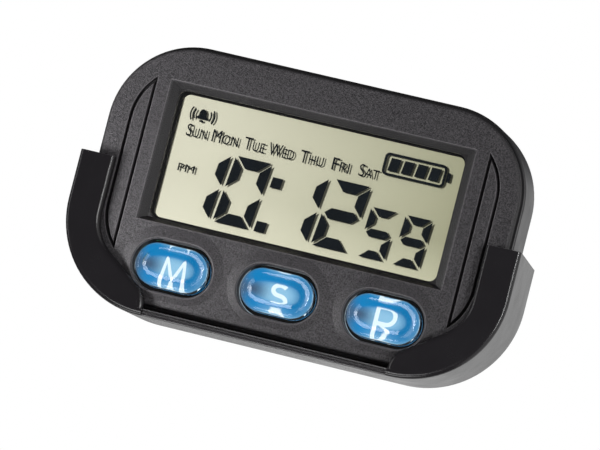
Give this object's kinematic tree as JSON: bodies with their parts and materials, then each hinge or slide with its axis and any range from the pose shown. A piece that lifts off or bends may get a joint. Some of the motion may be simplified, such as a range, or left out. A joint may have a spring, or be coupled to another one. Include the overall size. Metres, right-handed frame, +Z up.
{
  "type": "digital clock",
  "caption": "Small stick-on digital clock: flat module with a recessed LCD and domed push buttons, standing in a lipped cradle with an adhesive back.",
  "frame": {"origin": "on the floor under the middle of the object, at the flat bottom of the cradle", "axes": "+Z up, +X to the right seen from the front, the display faces -Y"},
  "size_m": [0.064, 0.0158, 0.0387],
  "materials": {
    "cradle_gloss": "gloss black",
    "pad_foam": "white foam tape",
    "front_texture": "fine moulded texture",
    "rear_satin": "satin",
    "screw_steel": "bright",
    "clear_pane": "clear",
    "polarizer_film": "clear",
    "lcd_glass": "clear",
    "cell_sealant": "matte",
    "lit_segment": "matte",
    "reflector_film": "satin metallic",
    "holder_black": "matte",
    "zebra_rubber": "striped",
    "foam_grey": "foam",
    "board_green": "solder mask",
    "blob_epoxy": "gloss black",
    "can_metal": "bright",
    "chip_ceramic": "matte",
    "silicone": "translucent white",
    "carbon_rubber": "matte black",
    "button_blue": "clear blue",
    "cell_steel": "bright",
    "contact_spring": "nickel",
    "buzzer_brass": "plain",
    "buzzer_white": "silvered ceramic"
  },
  "bodies": {
    "cradle_base": {"cradle": "cradle_gloss", "adhesive_pad": "pad_foam"},
    "clock_module": {"front_case": "front_texture", "rear_case": "rear_satin", "case_screws": "screw_steel", "display_lens": "clear_pane", "lcd_front_polarizer": "polarizer_film", "lcd_front_glass": "lcd_glass", "lcd_cell_seal": "cell_sealant", "lcd_segments": "lit_segment", "lcd_rear_glass": "lcd_glass", "lcd_reflector": "reflector_film", "lcd_holder": "holder_black", "zebra_strip": "zebra_rubber", "lcd_foam_strips": "foam_grey", "main_pcb": "board_green", "pcb_screws": "screw_steel", "controller_blob": "blob_epoxy", "quartz_crystal": "can_metal", "chip_capacitors": "chip_ceramic", "rubber_keypad": "silicone", "contact_pills": "carbon_rubber", "battery_cell": "cell_steel", "battery_contact_negative": "contact_spring", "battery_contact_positive": "contact_spring", "buzzer_plate": "buzzer_brass", "buzzer_ceramic": "buzzer_white", "buzzer_contact": "contact_spring"},
    "mode_key": {"mode_button": "button_blue"},
    "set_key": {"set_button": "button_blue"},
    "reset_key": {"reset_button": "button_blue"},
    "battery_cover": {"battery_cap": "rear_satin"}
  },
  "joints": [
    {"name": "clock_slide", "type": "slide", "parent": "cradle_base", "child": "clock_module", "axis": [0, 0, 1], "range_m": [0, 0.022]},
    {"name": "mode_press", "type": "slide", "parent": "clock_module", "child": "mode_key", "axis": [0, 1, 0], "range_m": [0, 0.0007], "stiffness_N_per_m": 800, "springref_m": -0.0003, "deforming": ["rubber_keypad"]},
    {"name": "set_press", "type": "slide", "parent": "clock_module", "child": "set_key", "axis": [0, 1, 0], "range_m": [0, 0.0007], "stiffness_N_per_m": 800, "springref_m": -0.0003, "deforming": ["rubber_keypad"]},
    {"name": "reset_press", "type": "slide", "parent": "clock_module", "child": "reset_key", "axis": [0, 1, 0], "range_m": [0, 0.0007], "stiffness_N_per_m": 800, "springref_m": -0.0003, "deforming": ["rubber_keypad"]},
    {"name": "battery_cap_turn", "type": "hinge", "parent": "clock_module", "child": "battery_cover", "pos_m": [0, 0.00498, 0.0285], "axis": [0, 1, 0], "range_deg": [0, 35]}
  ]
}
